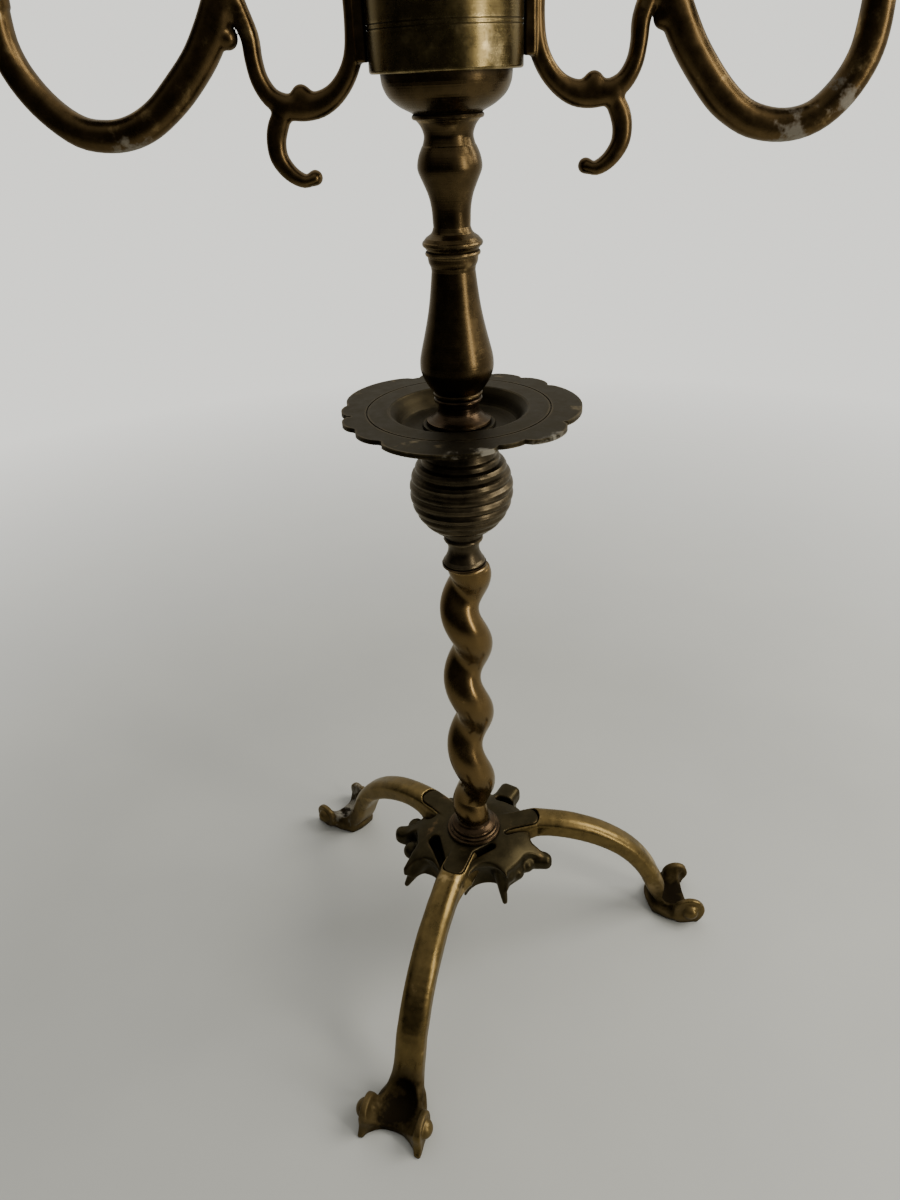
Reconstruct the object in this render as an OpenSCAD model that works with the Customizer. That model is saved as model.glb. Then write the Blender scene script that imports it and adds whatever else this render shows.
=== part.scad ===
// Tabletop candelabra in cast and turned brass: a tripod candlestick with a barley-twist column,
// a ribbed socket and a drip tray, and a two-armed branch that plugs into the socket.
// Origin on the axis, on the table. +Z is up, and the arms lie along X.

/* [Stand] */
// Distance from the axis to the middle of each foot
foot_radius = 108; // [100:1:114]
// Height of the hub's top face
hub_height = 62; // [58:1:66]
// Azimuth of the front leg, in degrees
leg_front_azimuth = -109.5; // [-114:0.5:-105]
// Azimuth of the right leg, in degrees
leg_right_azimuth = 4.5; // [0:0.5:10]
// Azimuth of the back leg, in degrees
leg_back_azimuth = 134; // [129:0.5:138]

/* [Column] */
// Height at which the column ends
column_top = 204; // [200:1:206]
// Radius of the twisted strand
strand_radius = 7.8; // [7:0.1:8.2]
// Distance of the strand's centre from the axis
strand_offset = 2.6; // [1.8:0.1:3]
// Pitch of the twist at the top, where it is tightest
twist_pitch = 31.5; // [28:0.5:36]

/* [Candles and trays] */
// Diameter of the candles that the sockets take
candle_d = 21; // [20:0.5:21.5]
// Height of the drip tray's rim
tray_height = 266; // [264:1:270]
// Radius of the engraved circle on the drip tray
tray_circle_radius = 32; // [28:0.5:34]
// Width of the small trays under the upper candles
pan_d = 58; // [50:1:64]

/* [Branch] */
// Height of the drum's underside
drum_height = 366; // [364:1:372]
// Diameter of the drum
drum_d = 44.5; // [43:0.5:45]
// Distance from the axis to the left candle
reach_left = 125.5; // [122:0.5:130]
// Distance from the axis to the right candle
reach_right = 121; // [119:0.5:126]

/* [Hidden] */
$fn = 96;

brass = "#8a6d33";
dark_brass = "#4a3c22";
gold_brass = "#a98442";
steel = "#777067";

leg_azimuths = [leg_front_azimuth, leg_right_azimuth, leg_back_azimuth];
tongue_turns = [-3, 8.7, -1];     // how far each tongue is turned away from its leg
toe_shifts = [0, -3.4, 2];        // how far each foot stands to the side of its azimuth
fit_gap = 0.05;       // radial clearance of screws, studs and pins in their holes
running_gap = 0.08;   // radial clearance of the nozzle and the plug, which slide
seat_gap = 0.3;       // space left between pieces that rest on each other but move
bore_r = candle_d / 2;

// Hub and legs
hub_base = hub_height - 12;       // underside of the hub's boss
tongue_thickness = 4.4;
tongue_length = 31.5;
tongue_width = 9.6;
leg_screw_radius = 22;            // where each leg's screw stands
ear_height = 6.6;                 // height of the middle of each foot's ears
ear_side = 12;                    // distance of the ears from the foot's middle

// Column
stud_r = 4;
column_base = hub_height + 8;
twist_start = column_top - 4.8;   // here the strand is furthest to the right
pitch_growth = 0.000034;          // how the twist slackens towards the foot

// Socket, tray and plug, from the column up
neck_base = column_top + 0.8;
ball_r = 19;
ball_z = tray_height - 30.4;
socket_top = tray_height - 7.9;
well_floor = tray_height - 6.3;   // top face of the tray's sunk middle
nozzle_wall = 0.9;
nozzle_r = bore_r + nozzle_wall;
ring_r = nozzle_r + 1.5;          // the ring that keeps the tray on the nozzle, and the lip above it
plug_r = bore_r - running_gap;
disc_z = tray_height - 5;         // underside of the plug's foot disc
vase_z = disc_z + 9.5;

// Branch
rod_r = 3;
baluster_z = vase_z + 48;
bowl_z = drum_height - 12;
drum_r = drum_d / 2;
drum_length = 30;
drum_wall = 1.6;
lid_z = drum_height + drum_length;
arm_z = drum_height - 366;        // the arms' heights are given for a drum at 366
pan_z = drum_height + 32;         // underside of the outer pans
centre_pan_z = lid_z + 16;
cup_stud_r = 2.5;
tab_x = drum_r + seat_gap / 6;    // inner face of each arm's tab
arm_screw_heights = [drum_height + 7, drum_height + 21];

// ---------------------------------------------------------------- curves

// Points of a circle's arc, from angle a to angle b
function arc(x, y, r, a, b, n = 6) =
    [for (i = [0 : n]) [x + r * cos(a + (b - a) * i / n), y + r * sin(a + (b - a) * i / n)]];

function catmull(p, q, r, s, t) =
    0.5 * (2 * q + (r - p) * t + (2 * p - 5 * q + 4 * r - s) * t * t
        + (3 * q - p - 3 * r + s) * t * t * t);

// A smooth line through the points, with n steps between each two
function smooth(p, n = 4) = concat(
    [for (i = [0 : len(p) - 2], k = [0 : n - 1])
        catmull(p[max(i - 1, 0)], p[i], p[i + 1], p[min(i + 2, len(p) - 1)], k / n)],
    [p[len(p) - 1]]);

function unit(v) = v / norm(v);
function along(p, i) = unit(p[min(i + 1, len(p) - 1)] - p[max(i - 1, 0)]);

// Outline of a flat strip that follows a line of [x, z, width]
function strip(p) = let (
    xy = [for (q = p) [q[0], q[1]]],
    side = [for (i = [0 : len(p) - 1]) let (d = along(xy, i)) [-d[1], d[0]] * p[i][2] / 2])
    concat([for (i = [0 : len(p) - 1]) xy[i] + side[i]],
        [for (i = [len(p) - 1 : -1 : 0]) xy[i] - side[i]]);

// A solid skin over rings that all have the same number of points
module skin(rings) {
    n = len(rings[0]);
    m = len(rings);
    polyhedron(
        points = [for (ring = rings, p = ring) p],
        faces = concat(
            [[for (i = [0 : n - 1]) i]],
            [for (j = [0 : m - 2], i = [0 : n - 1])
                let (a = j * n + i, b = j * n + (i + 1) % n) [a, a + n, b]],
            [for (j = [0 : m - 2], i = [0 : n - 1])
                let (a = j * n + i, b = j * n + (i + 1) % n) [b, a + n, b + n]],
            [[for (i = [n - 1 : -1 : 0]) (m - 1) * n + i]]));
}

module turned(outline) {
    rotate_extrude() polygon(outline);
}

// A turned piece with a straight hole from bottom to top
module bored(outline, hole_r) {
    low = min([for (p = outline) p[1]]);
    high = max([for (p = outline) p[1]]);
    turned(concat([[hole_r, low]], outline, [[hole_r, high]]));
}

module hexagon(across_flats) {
    circle(d = across_flats / cos(30), $fn = 6);
}

module hex_nut(across_flats, thickness, hole_r) {
    linear_extrude(thickness) difference() {
        hexagon(across_flats);
        circle(r = hole_r, $fn = 48);
    }
}

// ---------------------------------------------------------------- hub

module round_bar(from, to, width, low, high, corner = 2) {
    translate([from, -width / 2, low]) cube([to - from - corner, width, high - low]);
    translate([from, -width / 2 + corner, low]) cube([to - from, width - 2 * corner, high - low]);
    for (side = [-1, 1])
        translate([to - corner, side * (width / 2 - corner), low])
            cylinder(r = corner, h = high - low, $fn = 32);
}

// Domed disc with a skirt, hollow underneath
module hub_body() {
    top = hub_height;
    turned(concat(
        [[stud_r + fit_gap, top - 12], [stud_r + fit_gap, top], [12.5, top]],
        smooth([[12.5, top], [20, top - 1.2], [25, top - 3], [27, top - 5.5], [27, top - 16]]),
        [[21, top - 16]],
        smooth([[18.5, top - 15], [16, top - 10.5], [11, top - 9]], 3),
        [[9.5, top - 12]]));
}

module tongue() {
    round_bar(10, tongue_length, tongue_width, hub_height - tongue_thickness, hub_height, 4);
}

// Short bars that stand out from the edge: start, end, width, lowest and highest point below the top
lugs = [[[18, -9.6], [35.6, -11.2], 6.8, 15.7, 8.4], [[-20, 7.2], [-38, 8], 7.2, 15.7, 8],
    [[10, 15], [20.2, 31.5], 10.4, 12.5, 4.4]];
module lug(l) {
    d = l[1] - l[0];
    translate([l[0][0], l[0][1], 0]) rotate(atan2(d[1], d[0]))
        round_bar(0, norm(d), l[2], hub_height - l[3], hub_height - l[4]);
}

// Spikes that point outwards and down: start, tip, first radius
spikes = [[[10.5, -17.5, -9], [13.4, -26, -22.5], 3.6], [[-22, -8.4, -9.5], [-32.8, -14, -22], 4.6]];
module spike(s) {
    d = s[1] - s[0];
    translate([s[0][0], s[0][1], hub_height + s[0][2]])
        rotate([0, acos(d[2] / norm(d)), atan2(d[1], d[0])]) rotate(90)
            cylinder(r1 = s[2], r2 = 1, h = norm(d), $fn = 32);
}

// Scallops in the edge: x, y and radius
scallops = [[-24.8, -21.8, 7.8], [3.8, -28.6, 9.2], [31.5, -1.5, 5.4], [-33, 20.5, 6], [-37.6, -4.6, 4.4],
    [31, 21, 7.6], [-4, 32.6, 8.6]];

// Long hollows beside the tongues, as x, y of both ends
hollows = [[[-18.2, -7], [-14.8, -18.6]], [[7.4, -11.6], [-4.8, -19.4]], [[15.4, -3.4], [26, 2]],
    [[13.4, 20.6], [23, 17]], [[-22.2, 20], [-20.8, 11.6]], [[0.5, 17.5], [-9.8, 25]]];
module hollow(ends) {
    d = ends[1] - ends[0];
    translate([ends[0][0], ends[0][1], hub_height - 5]) rotate(atan2(d[1], d[0])) {
        translate([0, -1.6, 0]) cube([norm(d), 3.2, 10]);
        for (x = [0, norm(d)]) translate([x, 0, 0]) cylinder(r = 1.6, h = 10, $fn = 32);
    }
}

module scalloped_body() {
    difference() {
        union() {
            hub_body();
            for (l = lugs) lug(l);
        }
        for (s = scallops) translate([s[0], s[1], hub_height - 30]) cylinder(r = s[2], h = 40, $fn = 64);
    }
}

module hub() {
    color(brass) difference() {
        union() {
            scalloped_body();
            for (s = spikes) spike(s);
            for (i = [0 : 2]) rotate(leg_azimuths[i] + tongue_turns[i]) tongue();
        }
        for (h = hollows) hollow(h);
        for (i = [0 : 2]) rotate(leg_azimuths[i] + tongue_turns[i]) {
            // channel that the leg's root lies in
            translate([12.6, -6.1, hub_base - 14]) cube([40, 12.2, 26 - tongue_thickness]);
            translate([leg_screw_radius, 0, hub_base]) cylinder(r = 1.5 + fit_gap, h = 10.6, $fn = 32);
        }
        cylinder(r = stud_r + fit_gap, h = 100);
        translate([0, 0, hub_height]) cylinder(r = 60, h = 20);
    }
}

// ---------------------------------------------------------------- legs

function bezier(a, b, c, d, t) =
    a * pow(1 - t, 3) + b * 3 * t * pow(1 - t, 2) + c * 3 * t * t * (1 - t) + d * pow(t, 3);

// The leg's middle line, as [distance from the axis, height]
root = [13, hub_height - 5.6];
shin = [foot_radius - 24, 25.5];
toe = [foot_radius - 6, 4.6];
function leg_line(t) = t < 1
    ? bezier(root, [foot_radius - 60, hub_height - 1], [foot_radius - 35, 48], shin, t)
    : bezier(shin, [foot_radius - 17.7, 13], [foot_radius - 17, 4.6], toe, t - 1);

// Width and thickness of the leg along that line
function leg_width(t) = t < 1 ? 11.3 + 1.1 * t : 12.4 + 9 * pow(t - 1, 3);
function leg_depth(t) = t < 1 ? 10.8 - 1.4 * t : 9.4 - 1.6 * (t - 1);

// Section of the leg: flat underneath, with a soft ridge along the top
function leg_section(w, d) = [[-w / 2, -d / 6], [-w / 3, -d / 2], [w / 3, -d / 2], [w / 2, -d / 6],
    [w / 2, d / 8], [w / 4, d * 0.4], [0, d / 2], [-w / 4, d * 0.4], [-w / 2, d / 8]];

// Sideways place of the leg's middle: it follows its tongue, then runs straight to the toe
function leg_side(x, turn, shift) = x < 30
    ? x * tan(turn)
    : 30 * tan(turn) + (shift - 30 * tan(turn)) * (x - 30) / 75;

module leg_sweep(turn, shift) {
    steps = 22;
    skin([for (i = [0 : steps]) let (
        t = 2 * i / steps,
        p = leg_line(t),
        d = unit(leg_line(min(t + 0.02, 2)) - leg_line(max(t - 0.02, 0))))
        [for (q = leg_section(leg_width(t), leg_depth(t)))
            [p[0] - d[1] * q[1], q[0] + leg_side(p[0], turn, shift), p[1] + d[0] * q[1]]]]);
}

// Upright round plate with a point in front, and a domed button outside it
module ear() {
    plate = 2.6;
    rotate([90, 0, 0]) translate([0, 0, -plate / 2]) linear_extrude(plate) {
        translate([0, ear_height]) circle(r = 6.1);
        polygon([[-3, 0.9], [8.6, 0], [8.8, 1], [5.6, ear_height + 2], [-2, ear_height]]);
    }
    translate([0, 0.3, ear_height + 0.2]) sphere(r = 4.2, $fn = 48);
}

// Dished sole that rises to an ear on each side
module foot() {
    dish_r = 12.1;
    front_r = 14.6;
    translate([foot_radius, 0, 0]) {
        translate([0, ear_side, 0]) ear();
        translate([0, -ear_side, 0]) mirror([0, 1, 0]) ear();
        difference() {
            union() {
                translate([0, ear_side, ear_height]) rotate([90, 0, 0]) cylinder(r = 6.1, h = 2 * ear_side);
                translate([-2, -ear_side, 0]) cube([10, 2 * ear_side, ear_height]);
            }
            translate([-20, 0, dish_r + 2.7]) rotate([0, 90, 0]) cylinder(r = dish_r, h = 40);
            translate([front_r + 2.6, 0, -1]) cylinder(r = front_r, h = 30);
        }
        translate([-16, -7.4, 0]) cube([16, 14.8, 2.9]);
        for (side = [-1, 1]) translate([-14, side * 7.9 - 2.1, 0.8]) cube([11, 4.2, 5]);
    }
}

module leg(i) {
    turn = tongue_turns[i];
    color(brass) rotate(leg_azimuths[i]) difference() {
        union() {
            leg_sweep(turn, toe_shifts[i]);
            translate([0, toe_shifts[i], 0]) foot();
        }
        // step that the hub's tongue lies in
        rotate(turn) translate([0, -10, hub_height - tongue_thickness - 0.05]) cube([tongue_length + 0.1, 20, 12]);
        translate([0, -30, -20]) cube([200, 60, 20]);
        rotate(turn) translate([leg_screw_radius, 0, hub_base - 10]) cylinder(r = 1.5 + fit_gap, h = 30, $fn = 32);
        rotate(turn) translate([leg_screw_radius, 0, hub_base - 10]) cylinder(r = 3, h = 11.4, $fn = 32);
    }
}

module leg_front() { leg(0); }
module leg_right() { leg(1); }
module leg_back() { leg(2); }

// One screw from below holds each leg to its tongue
module leg_screws() {
    color(steel) for (i = [0 : 2])
        rotate(leg_azimuths[i] + tongue_turns[i]) translate([leg_screw_radius, 0, hub_base - 0.6]) {
            cylinder(r = 1.5, h = 10.6, $fn = 32);
            difference() {
                cylinder(r = 2.8, h = 1.9, $fn = 32);
                translate([-4, -0.4, -1]) cube([8, 0.8, 1.8]);
            }
        }
}

module hub_washer() {
    color(steel) translate([0, 0, hub_base - 1.2]) difference() {
        cylinder(r = 9, h = 1.2);
        translate([0, 0, -1]) cylinder(r = stud_r + fit_gap, h = 4);
    }
}

module hub_nut() {
    color(steel) translate([0, 0, hub_base - 6.2]) hex_nut(13, 5, stud_r + fit_gap);
}

module foot_stud() {
    color(steel) translate([0, 0, hub_base - 8]) cylinder(r = stud_r, h = 12 + 8 + 8 + 9);
}

// ---------------------------------------------------------------- column

module base_collar() {
    color(dark_brass) translate([0, 0, hub_height]) bored(concat(
        arc(11.4, 0.9, 0.9, -90, 90, 4),
        [[11.1, 1.9]],
        arc(10.6, 2.6, 0.7, -80, 80, 4),
        [[10.2, 3.4]],
        arc(9.6, 4.1, 0.7, -80, 60, 4),
        smooth([[9.3, 5], [7.9, 6], [7.3, 7.2], [7.2, 8]])), stud_r + fit_gap);
}

function ramp(x) = x <= 0 ? 0 : x >= 1 ? 1 : x * x * (3 - 2 * x);

// Angle that the strand has turned through at height z
function twist(z) = 360 * ((twist_start - z) / twist_pitch - pitch_growth * pow(twist_start - z, 2));
function offset_at(z) = strand_offset * ramp((z - column_base) / 9) * (0.55 + 0.45 * ramp((column_top - z) / 5));
function strand_point(z) = [offset_at(z) * cos(twist(z)), offset_at(z) * sin(twist(z)), z];
function strand_r_at(z) = 7.1 + (strand_radius - 7.1) * ramp((z - column_base) / 7);

// The ring's slant follows the strand, and dies out at both ends
module twisted_strand() {
    rings = 86;
    sides = 22;
    skin([for (i = [0 : rings]) let (
        z = column_base + (column_top - column_base) * i / rings,
        slant = ramp((z - column_base) / 6) * ramp((column_top - z) / 6),
        d = unit(strand_point(z + 0.1) - strand_point(z - 0.1)),
        e = unit([d[0] * slant, d[1] * slant, d[2]]),
        u = unit([e[2], 0, -e[0]]),
        v = cross(e, u))
        [for (k = [0 : sides - 1]) strand_point(z)
            + strand_r_at(z) * (u * cos(-360 * k / sides) + v * sin(-360 * k / sides))]]);
}

module column() {
    color(gold_brass) difference() {
        twisted_strand();
        translate([0, 0, column_base - 1]) cylinder(r = stud_r + fit_gap, h = 11);
        translate([0, 0, column_top - 10]) cylinder(r = stud_r + fit_gap, h = 11);
    }
}

module head_stud() {
    color(steel) translate([0, 0, column_top - 9]) cylinder(r = stud_r, h = 26);
}

module column_washer() {
    color(dark_brass) translate([0, 0, column_top]) difference() {
        cylinder(r = 8.5, h = 0.8);
        translate([0, 0, -1]) cylinder(r = stud_r + fit_gap, h = 3);
    }
}

// ---------------------------------------------------------------- socket, tray and nozzle

// Outline of a ball with turned grooves, from latitude a up to latitude b
rib_angle = 12.5;
function ribbed(r, z, a, b, groove, rib = rib_angle) = [for (lat = [a : rib / 6 : b])
    let (rho = r - groove * pow(abs(cos(180 * lat / rib)), 5)) [rho * cos(lat), z + rho * sin(lat)]];

module ribbed_socket() {
    cavity = ball_z + 3;
    color(dark_brass) turned(concat(
        [[stud_r + fit_gap, neck_base]],
        arc(7.4, neck_base + 0.7, 0.7, -90, 40, 4),
        smooth([[7.3, neck_base + 2], [6.2, neck_base + 4.6], [5.9, neck_base + 7], [6.5, neck_base + 9]]),
        arc(6.6, neck_base + 10.4, 0.9, -80, 80, 4),
        ribbed(ball_r, ball_z, -5 * rib_angle, 3.6 * rib_angle, 0.8),
        smooth([[13.2, ball_z + 13.6], [12.8, socket_top - 6], [13.2, socket_top - 3.4]], 3),
        arc(13.7, socket_top - 1.2, 0.9, -70, 40, 4),
        [[14.3, socket_top], [ring_r + seat_gap, socket_top], [ring_r + seat_gap, socket_top - 1.7],
            [nozzle_r + running_gap, socket_top - 1.7], [nozzle_r + running_gap, cavity],
            [stud_r + fit_gap, cavity]]));
}

// Lobes of the drip tray's edge: azimuth, half width and rise above the edge's base radius
tray_base_radius = tray_circle_radius + 7;
tray_lobes = [[-101, 29, 5], [-65, 7, 0.6], [-43, 15, 4.2], [2, 30, 3.9], [42, 9, 2.4], [61, 9, 1.8],
    [79, 9, 2.2], [99, 13, 3.4], [143, 27, 4.9], [177, 8, 2.2], [197, 8, 2.2], [218, 9, 1.8]];
function turn_between(a, b) = abs((a - b + 540) % 360 - 180);
function lobe_rise(a, lobe) = let (d = turn_between(a, lobe[0]) / lobe[1])
    d >= 1 ? 0 : lobe[2] * sqrt(cos(90 * d));
function tray_edge(a) = tray_base_radius + max([for (lobe = tray_lobes) lobe_rise(a, lobe)]);

module tray_outline() {
    polygon([for (a = [0 : 2 : 358]) tray_edge(a) * [cos(a), sin(a)]]);
}

module drip_tray() {
    rim_low = tray_height - 1.6;
    well_r = tray_circle_radius - 7.3;
    color(dark_brass) {
        difference() {
            translate([0, 0, rim_low]) linear_extrude(1.6) tray_outline();
            translate([0, 0, rim_low - 1]) cylinder(r = well_r, h = 4);
            translate([0, 0, tray_height - 0.3]) difference() {
                cylinder(r = tray_circle_radius + 0.25, h = 1);
                translate([0, 0, -1]) cylinder(r = tray_circle_radius - 0.25, h = 3);
            }
            // narrow cut in from the edge
            rotate(187.5) translate([tray_base_radius - 1.5, -0.5, rim_low - 1]) cube([10, 1, 4]);
        }
        turned(concat(
            [[nozzle_r + fit_gap, well_floor - 1.3]],
            smooth([[18, well_floor - 1.3], [21, well_floor - 0.7], [23, well_floor + 1.6],
                [well_r, rim_low]]),
            [[well_r, tray_height]],
            smooth([[well_r - 0.6, tray_height - 0.2], [well_r - 2.4, tray_height - 2],
                [well_r - 4.6, well_floor + 0.7], [well_r - 7.5, well_floor]]),
            [[nozzle_r + fit_gap, well_floor]]));
    }
}

// Tube that holds the candle, or the plug, inside the ribbed socket. The tray turns between
// the tube's lip and the ring below it.
module nozzle() {
    low = ball_z + 3.6;
    lip = disc_z - seat_gap;
    color(dark_brass) turned([[0, low], [nozzle_r, low], [nozzle_r, socket_top - 1.4], [ring_r, socket_top - 1.4],
        [ring_r, socket_top], [nozzle_r, socket_top], [nozzle_r, well_floor + seat_gap],
        [ring_r, well_floor + seat_gap], [ring_r - 0.3, lip], [bore_r, lip], [bore_r, low + 1.2], [0, low + 1.2]]);
}

// ---------------------------------------------------------------- plug and vase

module plug() {
    low = ball_z + 5.4;
    color(brass) turned(concat(
        [[0, low], [plug_r - 1, low], [plug_r, low + 1], [plug_r, disc_z]],
        [[11.1, disc_z], [11.4, disc_z + 0.4], [11.2, disc_z + 1.1]],
        smooth([[11.2, disc_z + 1.1], [9.4, disc_z + 2], [7.5, disc_z + 3.8], [7, disc_z + 6]]),
        [[7, disc_z + 7.6]],
        arc(7.7, disc_z + 8.4, 0.7, -80, 60, 4),
        [[7.6, vase_z - seat_gap], [4, vase_z - seat_gap], [4, vase_z + 15], [0, vase_z + 15]]));
}

// Keeps the branch from being pulled off the plug's pin, and lets it turn
module plug_nut() {
    color(steel) translate([0, 0, vase_z + 8.5]) hex_nut(9, 4, 4 + fit_gap / 5);
}

module vase() {
    z = vase_z;
    color(brass) turned(concat(
        [[4 + running_gap, z]],
        arc(7.7, z + 0.8, 0.8, -90, 60, 4),
        smooth([[8.4, z + 1.8], [10.7, z + 5], [12.2, z + 8.4], [12.5, z + 11], [12.1, z + 14.4],
            [10.3, z + 21.6], [8.8, z + 28.4], [7.8, z + 35], [7.1, z + 41]]),
        smooth([[7.3, z + 42.3], [7.9, z + 43.6], [8.1, z + 45]], 3),
        arc(8.1, z + 46.3, 0.8, -80, 80, 4),
        [[8.6, z + 47.7], [rod_r + fit_gap, z + 47.7], [rod_r + fit_gap, z + 28],
            [6, z + 26], [7.4, z + 18], [7.4, z + 8], [4 + running_gap, z + 8]]));
}

// ---------------------------------------------------------------- branch stem

module baluster() {
    z = baluster_z;
    color(brass) bored(concat(
        [[8.6, z - 0.3]],
        arc(8.7, z + 1.2, 1, -70, 60, 5),
        smooth([[8.4, z + 3], [6.6, z + 4.3], [5.9, z + 6]], 3),
        smooth([[6, z + 8], [6.2, z + 11.5], [7, z + 15.2], [8.4, z + 18.6], [9.7, z + 21.6],
            [9.9, z + 23.6], [9.3, z + 26.2], [8.3, z + 28.4]]),
        [[8, z + 28.8]],
        smooth([[7.8, z + 29.4], [7.45, z + 31.4], [8.3, z + 33.8], [9.7, bowl_z]])), rod_r + fit_gap);
}

module bowl() {
    z = bowl_z;
    color(brass) turned(concat(
        [[rod_r + fit_gap, z]],
        arc(10, z + 0.8, 0.8, -90, 70, 5),
        smooth([[11, z + 2], [14.2, z + 3.6], [17.2, z + 6], [18.8, z + 9], [19.2, z + 12]]),
        [[17.4, z + 12], [16, z + 7.5], [11, z + 5], [rod_r + fit_gap, z + 5]]));
}

// Tie rod that clamps the whole branch together, from the vase to the middle candle cup
module branch_rod() {
    color(steel) translate([0, 0, vase_z + 30]) cylinder(r = rod_r, h = centre_pan_z + 7.8 - vase_z - 30);
}

module drum() {
    line_heights = [drum_height + 10.4, drum_height + 11.6];
    color(brass) difference() {
        turned(concat(
            [[rod_r + fit_gap, drum_height]],
            arc(drum_r - 0.8, drum_height + 0.8, 0.8, -90, 0, 4),
            [[drum_r, lid_z], [drum_r - drum_wall, lid_z], [drum_r - drum_wall, drum_height + 2],
                [rod_r + fit_gap, drum_height + 2]]));
        for (z = line_heights) translate([0, 0, z]) difference() {
            cylinder(r = drum_r + 1, h = 0.35);
            translate([0, 0, -1]) cylinder(r = drum_r - 0.25, h = 3);
        }
        for (z = arm_screw_heights) translate([-40, 0, z]) rotate([0, 90, 0]) cylinder(r = 1.5 + fit_gap, h = 80, $fn = 32);
    }
}

module drum_lid() {
    z = lid_z;
    color(brass) bored(concat(
        [[drum_r - drum_wall - 0.1, z - 2.4], [drum_r - drum_wall - 0.1, z]],
        arc(drum_r - 0.2, z + 1, 1, -90, 90, 6),
        smooth([[drum_r - 3, z + 2.4], [15, z + 4], [9.5, z + 6.4], [6.8, z + 9]]),
        arc(6.9, z + 10.2, 1, -80, 80, 5),
        smooth([[6.1, z + 11.6], [6.4, z + 13.6], [8.6, z + 16]])), rod_r + fit_gap);
}

// ---------------------------------------------------------------- arms

// Each line is [distance from the axis, height, width], and starts at the drum. The right arm
// has been bent a little lower and tighter than the left one.
strand_line = [[24.5, 388, 7], [30, 398, 7.5], [41, 403, 8.4], [52, 399, 9], [60, 389, 9.6]];
bend_left = [[65.5, 379, 9.8], [71.5, 370.5, 9.7], [79.3, 362.8, 9.6], [86.6, 357.4, 9.2], [93.4, 354.3, 9],
    [100.6, 353.4, 8.9], [109, 355, 8.7], [117, 361.2, 8.5], [122.6, 369, 8.4],
    [reach_left, 378, 8.3], [reach_left, 388, 8.3]];
bend_right = [[65, 378, 9.8], [70, 369, 9.7], [76, 361, 9.6], [82.6, 354.2, 9.4], [90, 350, 9.2],
    [99, 348.4, 9], [108, 350.3, 9], [115, 356.4, 9.2], [119.6, 364.5, 9.2],
    [reach_right, 373, 9], [reach_right, 388, 8.3]];
scroll_line = [[58, 384, 6], [55.4, 377, 5.2], [55, 371, 5], [54, 366, 5.2], [51.3, 361.6, 5.6], [47, 359.2, 6.6],
    [42.5, 359, 8], [37.5, 359.2, 7], [32.6, 361.7, 6], [28.6, 366.2, 5.6], [26.2, 372, 5.4],
    [25.5, 380, 5.4], [25.6, 390, 5.6]];
tail_line = [[47.5, 359, 5], [50.4, 354, 6], [51.5, 349.8, 5.8], [51, 345.4, 5.4], [48.2, 341.4, 4.8],
    [44.4, 339.2, 4], [41, 339.8, 3.2]];

module scrolled_bar(line, thickness) {
    translate([0, thickness / 2, arm_z]) rotate([90, 0, 0]) linear_extrude(thickness)
        polygon(strip(smooth(line, 3)));
}

module arm(bend, reach) {
    color(brass) difference() {
        union() {
            scrolled_bar(concat(strand_line, bend), 8.2);
            scrolled_bar(scroll_line, 5.4);
            scrolled_bar(tail_line, 4.8);
            translate([61.5, 0, 376.6 + arm_z]) sphere(r = 2.6, $fn = 32);
            translate([41, 2.4, 339.8 + arm_z]) rotate([90, 0, 0]) cylinder(r = 1.9, h = 4.8, $fn = 32);
            // flat tab that bears on the drum
            translate([tab_x, -4, drum_height + 3]) cube([3, 8, 24]);
            for (z = arm_screw_heights) translate([tab_x, 0, z]) rotate([0, 90, 0]) cylinder(r = 3.4, h = 4.6, $fn = 32);
            // boss and stud that carry the pan and the candle cup
            translate([reach, 0, drum_height + 20]) turned(concat([[0, 0]],
                smooth([[4.4, 0], [4.8, 4], [6.4, 8], [7.4, 10.4]]), arc(7, 11.2, 0.8, -80, 90, 4), [[0, 12]]));
            translate([reach, 0, pan_z - 1]) cylinder(r = cup_stud_r, h = 8.8, $fn = 48);
        }
        for (z = arm_screw_heights) translate([drum_r - 1, 0, z]) rotate([0, 90, 0])
            cylinder(r = 1.5 + fit_gap, h = 6, $fn = 32);
    }
}

module arm_right() { arm(bend_right, reach_right); }
module arm_left() { mirror([1, 0, 0]) arm(bend_left, reach_left); }

// Screws from inside the drum, two to each arm
module arm_screws() {
    head_x = drum_r - drum_wall - 1.8;
    color(steel) for (side = [0, 1], z = arm_screw_heights) mirror([side, 0, 0])
        translate([head_x, 0, z]) rotate([0, 90, 0]) {
            cylinder(r = 2.8, h = 1.4, $fn = 32);
            cylinder(r = 1.5, h = 7.4, $fn = 32);
        }
}

// ---------------------------------------------------------------- upper pans and candle cups

pan_lobes = 12;
function pan_edge(a) = pan_d / 2 - 1.6 + 1.6 * abs(cos(a * pan_lobes / 2));

module pan(hole_r) {
    difference() {
        union() {
            difference() {
                translate([0, 0, 2.4]) linear_extrude(1.4)
                    polygon([for (a = [0 : 3 : 357]) pan_edge(a) * [cos(a), sin(a)]]);
                translate([0, 0, 1]) cylinder(r = 17, h = 4);
            }
            turned(concat([[0, 0]], smooth([[12, 0], [14.5, 0.4], [16, 1.4], [17.2, 2.4]], 3),
                [[17.2, 3.8]], smooth([[16.4, 3.6], [14.6, 2.2], [12, 1.4]], 3), [[0, 1.4]]));
        }
        translate([0, 0, -1]) cylinder(r = hole_r, h = 4);
        translate([0, 0, 3.5]) difference() {
            cylinder(r = 21.2, h = 1);
            translate([0, 0, -1]) cylinder(r = 20.8, h = 3);
        }
    }
}

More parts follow.
